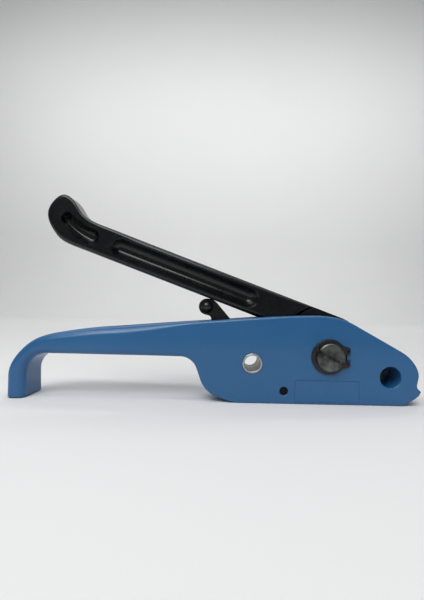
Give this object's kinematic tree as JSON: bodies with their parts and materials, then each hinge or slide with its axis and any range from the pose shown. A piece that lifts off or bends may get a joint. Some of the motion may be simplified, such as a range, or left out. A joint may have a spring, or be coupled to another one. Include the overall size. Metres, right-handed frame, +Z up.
{
  "type": "strapping tensioner",
  "caption": "Hand-held windlass strapping tensioner: cast frame with rear grip and hook, pump lever, ratchet windlass with slotted drum, release lever and toothed strap gripper on a flat foot.",
  "frame": {"origin": "on the base's underside, straight under the windlass axis and midway between the cheeks", "axes": "+X to the nose along the fixed handle, +Y to the side of the strap drum, +Z up"},
  "size_m": [0.3296, 0.0725, 0.166],
  "materials": {
    "body_paint": "glossy blue powder coat",
    "lever_paint": "semi-gloss black coat",
    "black_steel": "black oxide",
    "bright_steel": "turned, zinc plated",
    "spring_steel": "drawn wire",
    "bronze": "sintered bronze"
  },
  "bodies": {
    "frame": {"frame": "body_paint", "near_bush": "bronze", "far_bush": "bronze", "release_tube": "bright_steel", "release_spacer": "bright_steel", "release_spring": "spring_steel", "holding_pawl_pin": "bright_steel", "holding_pawl_spacer": "bright_steel", "holding_pawl_spring": "spring_steel", "gripper_axle": "bright_steel", "gripper_axle_ring": "black_steel", "gripper_spring": "spring_steel", "gripping_plate": "black_steel", "gripping_plate_screws": "black_steel"},
    "pump_lever": {"pump_lever": "lever_paint", "lever_bushes": "bronze", "ratchet_shims": "bright_steel", "drive_pawl_pin": "bright_steel", "drive_pawl_spring": "spring_steel"},
    "windlass": {"windlass_shaft": "black_steel", "ratchet_wheel": "black_steel", "ratchet_key": "black_steel", "circlip": "black_steel"},
    "drive_pawl": {"drive_pawl": "black_steel"},
    "holding_pawl": {"holding_pawl": "black_steel"},
    "release_lever": {"release_lever": "black_steel", "release_cross_pin": "black_steel"},
    "gripper": {"gripper": "black_steel"}
  },
  "joints": [
    {"name": "pump_lever_lift", "type": "hinge", "parent": "frame", "child": "pump_lever", "pos_m": [0, 0, 0.038], "axis": [0, 1, 0], "range_deg": [0, 105]},
    {"name": "windlass_turn", "type": "hinge", "parent": "frame", "child": "windlass", "pos_m": [0, 0, 0.038], "axis": [0, 1, 0], "continuous": true},
    {"name": "drive_pawl_lift", "type": "hinge", "parent": "pump_lever", "child": "drive_pawl", "pos_m": [-0.00546, 0, 0.06676], "axis": [0, 1, 0], "range_deg": [0, 14], "stiffness_Nm_per_rad": 0.02, "springref_deg": -17.19, "deforming": ["drive_pawl_spring"]},
    {"name": "release_lever_press", "type": "hinge", "parent": "frame", "child": "release_lever", "pos_m": [-0.0613, 0, 0.0317], "axis": [0, -1, 0], "range_deg": [0, 5], "stiffness_Nm_per_rad": 0.3, "springref_deg": -17.19},
    {"name": "holding_pawl_lift", "type": "hinge", "parent": "frame", "child": "holding_pawl", "pos_m": [-0.036, 0, 0.0102], "axis": [0, 1, 0], "range_deg": [0, 7.7]},
    {"name": "gripper_lift", "type": "hinge", "parent": "frame", "child": "gripper", "pos_m": [0.0487, 0, 0.0227], "axis": [0, 1, 0], "range_deg": [0, 30], "stiffness_Nm_per_rad": 0.05, "springref_deg": -28.65}
  ],
  "couplings": [
    {"joint": "holding_pawl_lift", "follows": "release_lever_press", "ratio": 1.515}
  ]
}
